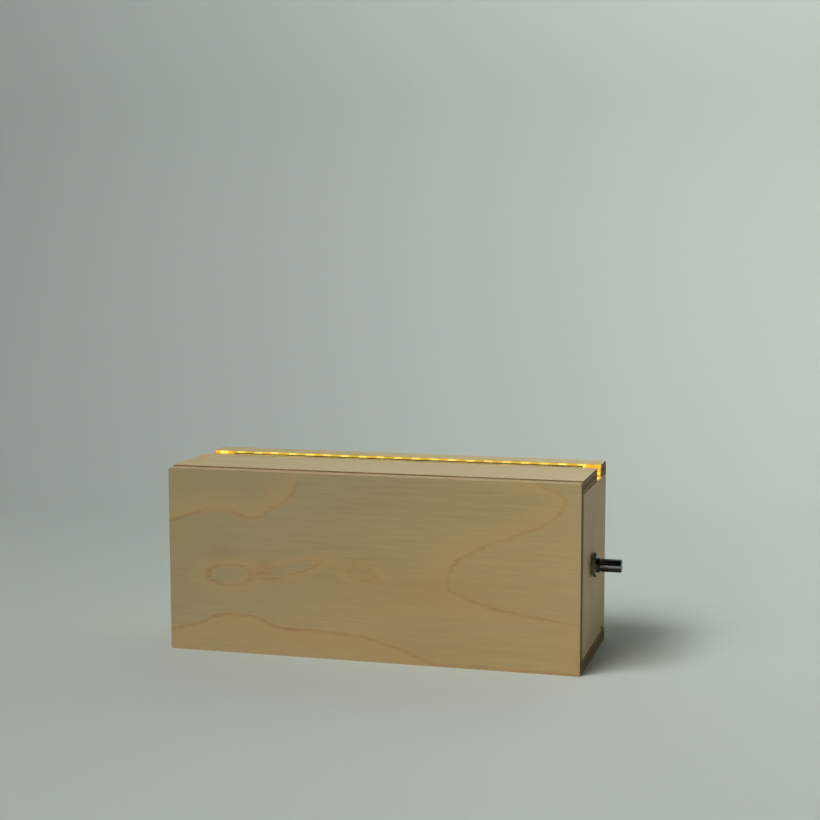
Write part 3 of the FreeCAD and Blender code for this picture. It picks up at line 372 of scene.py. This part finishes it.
def soften(node, width):
    """Joins a node's split corners and rounds its edges. The node's own mesh stays as it is."""
    piece = nodes[node]
    tree = bpy.data.node_groups.new("join_" + node, "GeometryNodeTree")
    tree.interface.new_socket("Geometry", in_out="INPUT", socket_type="NodeSocketGeometry")
    tree.interface.new_socket("Geometry", in_out="OUTPUT", socket_type="NodeSocketGeometry")
    enter = tree.nodes.new("NodeGroupInput")
    plain = tree.nodes.new("GeometryNodeRemoveAttribute")
    plain.inputs["Name"].default_value = "custom_normal"
    merge = tree.nodes.new("GeometryNodeMergeByDistance")
    merge.inputs["Distance"].default_value = SPLIT_CORNER
    smooth = tree.nodes.new("GeometryNodeSetShadeSmooth")
    leave = tree.nodes.new("NodeGroupOutput")
    chain = [enter, plain, merge, smooth, leave]
    for before, after in zip(chain, chain[1:]):
        tree.links.new(before.outputs[0], after.inputs[0])
    piece.modifiers.new("join", "NODES").node_group = tree
    bevel = piece.modifiers.new("round", "BEVEL")
    bevel.width = width
    bevel.segments = 2
    bevel.limit_method = "ANGLE"
    bevel.angle_limit = SHARP_ANGLE
    bevel.harden_normals = True
    bevel.use_clamp_overlap = True


def coat(node, *materials):
    """Gives a node these materials in place of the ones it came with."""
    piece = nodes[node]
    piece.data.materials.clear()
    for material in materials:
        piece.data.materials.append(material)


def coat_board(node, thickness, grain, face, shift, side_colours=CHARRED_AND_SHADED):
    """Veneer on a board's two faces, and plies on its edges, by which way each face of the mesh points."""
    ends = ply_edge(node + "_end_grain", node, thickness, True, shift)
    sides = ply_edge(node + "_long_edge", node, thickness, False, shift, side_colours)
    coat(node, face, ends, sides)
    for polygon in nodes[node].data.polygons:
        way = [abs(part) for part in polygon.normal]
        if way[thickness] > 0.5:
            polygon.material_index = 0
        elif way[grain] > 0.5:
            polygon.material_index = 1
        else:
            polygon.material_index = 2
    soften(node, BOARD_EDGE)


coat_board("front_panel", Y, X, front_veneer(), 1, SANDED)
coat_board("bottom_board", Z, X, veneer("bottom_veneer", X, 11), 2)
coat_board("side_panel_right", X, Z, veneer("right_veneer", Z, 23, SIDE_PALE, SIDE_DARK), 3)
coat_board("side_panel_left", X, Z, veneer("left_veneer", Z, 31, SIDE_PALE, SIDE_DARK), 4)
coat_board("back_panel", Y, X, veneer("back_veneer", X, 43), 5)
coat_board("top_front_board", Z, X, veneer("deck_veneer", X, 53), 6)
coat_board("top_rear_strip", Z, X, veneer("strip_veneer", X, 61), 7)


def pine():
    """Planed softwood running up the posts: wide pale bands between narrow dark ring lines."""
    shader = Shader("pine")
    rings = shader.noise(along(Z, 8, 260), detail=2, roughness=0.4)
    fibres = shader.noise(along(Z, 50, 1500), detail=3)
    colour = shader.ramp(rings, [(0.35, (0.66, 0.47, 0.25)), (0.48, (0.60, 0.40, 0.20)),
                                 (0.54, (0.42, 0.24, 0.10)), (0.57, (0.68, 0.49, 0.27))])
    colour = shader.mix(shader.remap(fibres, 0.3, 0.7, 0, 0.25), colour, (0.45, 0.28, 0.13))
    worn = shader.times(shader.edge(0.4 * MM), 0.4)
    shader.bump(fibres, 0.05 * MM)
    return shader.finish(base_color=shader.mix(worn, colour, (0.30, 0.18, 0.08)),
                         roughness=shader.remap(fibres, 0.3, 0.7, 0.55, 0.72))


def glowing(name, colour, light, low, high):
    """A face that glows: brightest beside each lamp and dimmer below them. On the lamps it is their own
    light; on the tape and its solder pads it is painted light, standing in for the lamps' glow falling on
    them.

    The light goes from low to high, up to a little above the lamps' lower edge, over one lamp's height.
    """
    shader = Shader(name)
    lamps_low, lamps_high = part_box("light_tape_lamps")
    first_lamp = lamps_low[X] + LAMP_LENGTH / 2
    lamp_pitch = (lamps_high[X] - lamps_low[X] - LAMP_LENGTH) / (LAMPS - 1)
    lamp_height = lamps_high[Z] - lamps_low[Z]
    fully_lit = lamps_low[Z] + 0.25 * lamp_height
    steps = shader.calc("DIVIDE", shader.calc("SUBTRACT", shader.axis(X), first_lamp), lamp_pitch)
    off = shader.calc("ABSOLUTE", shader.calc("SUBTRACT", steps, shader.calc("ROUND", steps)))
    beside = shader.remap(off, 0.05, 0.5, 1.12, 0.80, "SMOOTHSTEP")
    level = shader.remap(shader.axis(Z), fully_lit - lamp_height, fully_lit, low, high, "SMOOTHSTEP")
    cloud = shader.remap(shader.noise((160, 160, 700), detail=3), 0.3, 0.7, 0.72, 1.2)
    grain = shader.noise(evenly(1500), detail=3)
    dimmer = tuple(part * 0.6 for part in colour)
    tinted = shader.mix(shader.remap(grain, 0.3, 0.7, 0, 0.4), colour, dimmer)
    strength = shader.times(shader.times(beside, level), cloud)
    rough = shader.remap(grain, 0.3, 0.7, 0.3, 0.5)
    shader.bump(grain, 0.02 * MM)
    return shader.finish(base_color=tinted, roughness=rough, emission_color=light, emission_strength=strength)


def coat_metals():
    zinc = metal("zinc_plate", (0.55, 0.54, 0.50), 0.32, (0.75, 0.74, 0.72), evenly(700))
    blued = metal("blued_steel", (0.05, 0.06, 0.10), 0.28, (0.35, 0.35, 0.38))
    brass = metal("gear_brass", (0.70, 0.50, 0.20), 0.30, (0.85, 0.68, 0.35), dirt=(0.20, 0.12, 0.04))
    rolled_brass = metal("cylinder_brass", (0.74, 0.55, 0.24), 0.22, (0.88, 0.72, 0.40), along(X, 1800, 300),
                         dirt=(0.30, 0.19, 0.07))
    cast = metal("cast_zinc", (0.42, 0.43, 0.44), 0.50, (0.62, 0.62, 0.63), evenly(500),
                 dirt=(0.16, 0.16, 0.16))
    ground = metal("ground_steel", (0.58, 0.58, 0.60), 0.20, (0.8, 0.8, 0.82), along(X, 2500, 400),
                   dirt=(0.2, 0.19, 0.18))
    comb = metal("comb_steel", (0.46, 0.47, 0.50), 0.25, (0.7, 0.7, 0.72), along(Y, 1800, 300),
                 dirt=(0.2, 0.16, 0.12))
    spring = metal("spring_steel", (0.28, 0.28, 0.29), 0.30, (0.55, 0.55, 0.56))
    nickel = metal("nickel_plate", (0.66, 0.64, 0.60), 0.18, (0.85, 0.83, 0.80), dirt=(0.25, 0.23, 0.2))
    # The shaft's dirt colour also darkens its grooves, partly as grime and partly as painted shade.
    shaft = metal("black_shaft", (0.21, 0.21, 0.19), 0.22, (0.36, 0.36, 0.32), along(X, 300, 1500),
                  dirt=(0.015, 0.015, 0.013), grime_and_shade=groove_grime_and_shade)
    bushing = metal("black_bushing", (0.045, 0.045, 0.04), 0.30, (0.16, 0.16, 0.14))
    dark_nickel = metal("dark_nickel", (0.19, 0.19, 0.16), 0.25, (0.32, 0.32, 0.28), dirt=(0.12, 0.11, 0.09))
    switch_case = metal("switch_case", (0.45, 0.45, 0.44), 0.35, (0.7, 0.7, 0.68), dirt=(0.2, 0.18, 0.14))
    coats = {
        zinc: ["back_panel_screws", "bedplate_screws", "bracket_screws", "battery_holder_screws",
               "switch_screws"],
        blued: ["comb_screws", "pinion_grub_screw"],
        brass: ["crank_pinion", "cylinder_gear"],
        rolled_brass: ["cylinder_tube", "cylinder_end_discs"],
        cast: ["comb_base", "bedplate", "bracket_right", "bracket_left"],
        ground: ["cylinder_arbor", "cylinder_pins"],
        comb: ["comb"],
        spring: ["shaft_clip"],
        nickel: ["battery_springs", "battery_contacts"],
        shaft: ["crank_shaft"],
        bushing: ["shaft_bushing"],
        dark_nickel: ["bushing_washer", "bushing_nut"],
        switch_case: ["switch_body"],
    }
    for material, names in coats.items():
        for name in names:
            coat(name, material)


def coat_plastics():
    coat("battery_holder", plastic("holder_black", (0.022, 0.022, 0.024), 0.48))
    coat("battery_cells", plastic("cell_jacket", (0.05, 0.10, 0.17), 0.25))
    coat("switch_slider", plastic("switch_black", (0.02, 0.02, 0.02), 0.4))
    coat("tape_wire_negative", plastic("wire_black", (0.012, 0.012, 0.012), 0.38))
    red = plastic("wire_red", (0.36, 0.02, 0.018), 0.38)
    coat("tape_wire_positive", red)
    coat("switch_wire", red)


coat("back_posts", pine())
coat_metals()
coat_plastics()
# The tape and its solder pads are no lamps: their glow is painted light from the lamps beside them.
coat("light_tape", glowing("tape_gold", (0.30, 0.16, 0.03), (1.0, 0.66, 0.040), 0.12, 0.80))
coat("light_tape_lamps", glowing("lamp_amber", (0.50, 0.36, 0.12), (1.0, 0.79, 0.14), 0.75, 0.98))
coat("light_tape_pads", glowing("solder_gold", (0.40, 0.24, 0.06), (1.0, 0.60, 0.06), 0.42, 0.75))

# The width of each piece's rounded edges, in millimetres.
SOFT_EDGES = {
    0.3: ["back_posts", "bedplate", "comb_base", "bracket_right", "bracket_left"],
    0.15: ["battery_holder", "battery_cells", "crank_pinion", "cylinder_gear", "bushing_nut",
           "bushing_washer", "switch_slider", "back_panel_screws", "bedplate_screws", "bracket_screws",
           "comb_screws", "battery_holder_screws"],
    0.08: ["crank_shaft", "shaft_bushing", "shaft_clip", "comb", "cylinder_tube", "cylinder_end_discs",
           "cylinder_arbor", "switch_body", "switch_screws", "battery_contacts", "light_tape_lamps",
           "light_tape_pads", "pinion_grub_screw"],
    0.04: ["light_tape", "battery_springs"],
}
for width, names in SOFT_EDGES.items():
    for name in names:
        soften(name, width * MM)


# ---------------------------------------------------------------- stage, light and camera
def sweep():
    """A seamless sheet: a floor that curves up into a wall behind the object."""
    width, front, bend_start, radius, top = 6.0, -3.5, 0.30, 0.30, 3.2
    bend_steps = 24
    profile = [(front, 0), (bend_start, 0)]
    for step in range(1, bend_steps + 1):
        turn = math.radians(90 * step / bend_steps)
        profile.append((bend_start + radius * math.sin(turn), radius * (1 - math.cos(turn))))
    profile.append((bend_start + radius, top))
    corners = [(side * width / 2, y, z) for y, z in profile for side in (-1, 1)]
    faces = [(2 * step, 2 * step + 1, 2 * step + 3, 2 * step + 2) for step in range(len(profile) - 1)]
    mesh = bpy.data.meshes.new("sweep")
    mesh.from_pydata(corners, [], faces)
    for polygon in mesh.polygons:
        polygon.use_smooth = True
    sheet = bpy.data.objects.new("sweep", mesh)
    bpy.context.scene.collection.objects.link(sheet)
    shader = Shader("paper")
    tooth = shader.noise(evenly(400), detail=3)
    mottle = shader.noise(evenly(3), detail=2)
    shader.bump(tooth, 0.03 * MM)
    colour = shader.mix(mottle, (0.575, 0.640, 0.585), (0.585, 0.640, 0.590))
    mesh.materials.append(shader.finish(base_color=colour, roughness=0.85))


def soft_light(name, place, aim, size, power, colour=(1, 1, 1), spread=180):
    """A glowing panel that shows neither in the picture nor in reflections. Its spread is in degrees."""
    light = bpy.data.lights.new(name, "AREA")
    light.shape = "RECTANGLE"
    light.size, light.size_y = size
    light.energy = power
    light.color = colour
    light.spread = math.radians(spread)
    lamp = bpy.data.objects.new(name, light)
    lamp.location = place
    lamp.rotation_mode = "QUATERNION"
    lamp.rotation_quaternion = (Vector(aim) - Vector(place)).to_track_quat("-Z", "Y")
    lamp.visible_glossy = False
    lamp.visible_camera = False
    bpy.context.scene.collection.objects.link(lamp)


def slot_glow():
    """The light that the tape's lamps throw on the wood in front of them."""
    soft_light("slot_glow", (0, 19.4 * MM, 86.0 * MM), (0, 12.0 * MM, 74.0 * MM), (0.194, 0.002), 0.12,
               (1.0, 0.70, 0.20))


CAMERA_PLACE = (0.2172, -0.7548, 0.2037)
CAMERA_LENS = 73.77
# The camera's azimuth, its elevation and its roll, in degrees.
CAMERA_TURN = (-15.34, 6.64, -0.10)


def camera():
    """A long-lens camera, to the right of the middle and a little above the object."""
    azimuth, elevation, roll = (math.radians(angle) for angle in CAMERA_TURN)
    ahead = Vector((math.sin(azimuth) * math.cos(elevation), math.cos(azimuth) * math.cos(elevation),
                    -math.sin(elevation)))
    level_right = Vector((math.cos(azimuth), -math.sin(azimuth), 0))
    level_up = level_right.cross(ahead)
    right = level_right * math.cos(roll) + level_up * math.sin(roll)
    up = level_up * math.cos(roll) - level_right * math.sin(roll)
    lens = bpy.data.cameras.new("camera")
    lens.lens = CAMERA_LENS
    lens.clip_start = 0.01
    lens.clip_end = 100
    eye = bpy.data.objects.new("camera", lens)
    turn = Matrix((right, up, -ahead)).transposed().to_4x4()
    eye.matrix_world = Matrix.Translation(CAMERA_PLACE) @ turn
    bpy.context.scene.collection.objects.link(eye)
    bpy.context.scene.camera = eye


def room():
    """A dim studio, seen only in reflections: paler at the horizon and below it than overhead."""
    made = bpy.data.worlds.new("studio")
    made.use_nodes = True
    made.cycles_visibility.diffuse = False
    background = made.node_tree.nodes["Background"]
    add, link = made.node_tree.nodes.new, made.node_tree.links.new
    height = add("ShaderNodeSeparateXYZ")
    link(add("ShaderNodeTexCoord").outputs["Generated"], height.inputs[0])
    level = add("ShaderNodeMapRange")
    for socket, value in (("From Min", 0.0), ("From Max", 0.5), ("To Min", 0.14), ("To Max", 0.01)):
        level.inputs[socket].default_value = value
    link(height.outputs[Z], level.inputs["Value"])
    link(level.outputs[0], background.inputs["Strength"])
    background.inputs["Color"].default_value = (0.92, 0.95, 0.90, 1)
    bpy.context.scene.world = made


sweep()
soft_light("key", (-0.40, -0.85, 1.20), (0.10, 0.0, 0.0), (0.8, 0.8), 11.8)
soft_light("floor_pool", (-0.30, -0.50, 1.40), (0.60, 0.10, 0.0), (0.7, 0.7), 1.2, spread=45)
soft_light("wall_wash", (-0.20, -0.55, 1.60), (0.34, 0.60, 0.74), (0.8, 0.8), 2.6, spread=60)
soft_light("wall_glow", (0.5, 0.15, 1.1), (0.10, 0.6, 0.70), (0.4, 0.4), 0.95, spread=100)
slot_glow()
camera()
room()
bpy.context.scene.view_settings.view_transform = "Standard"
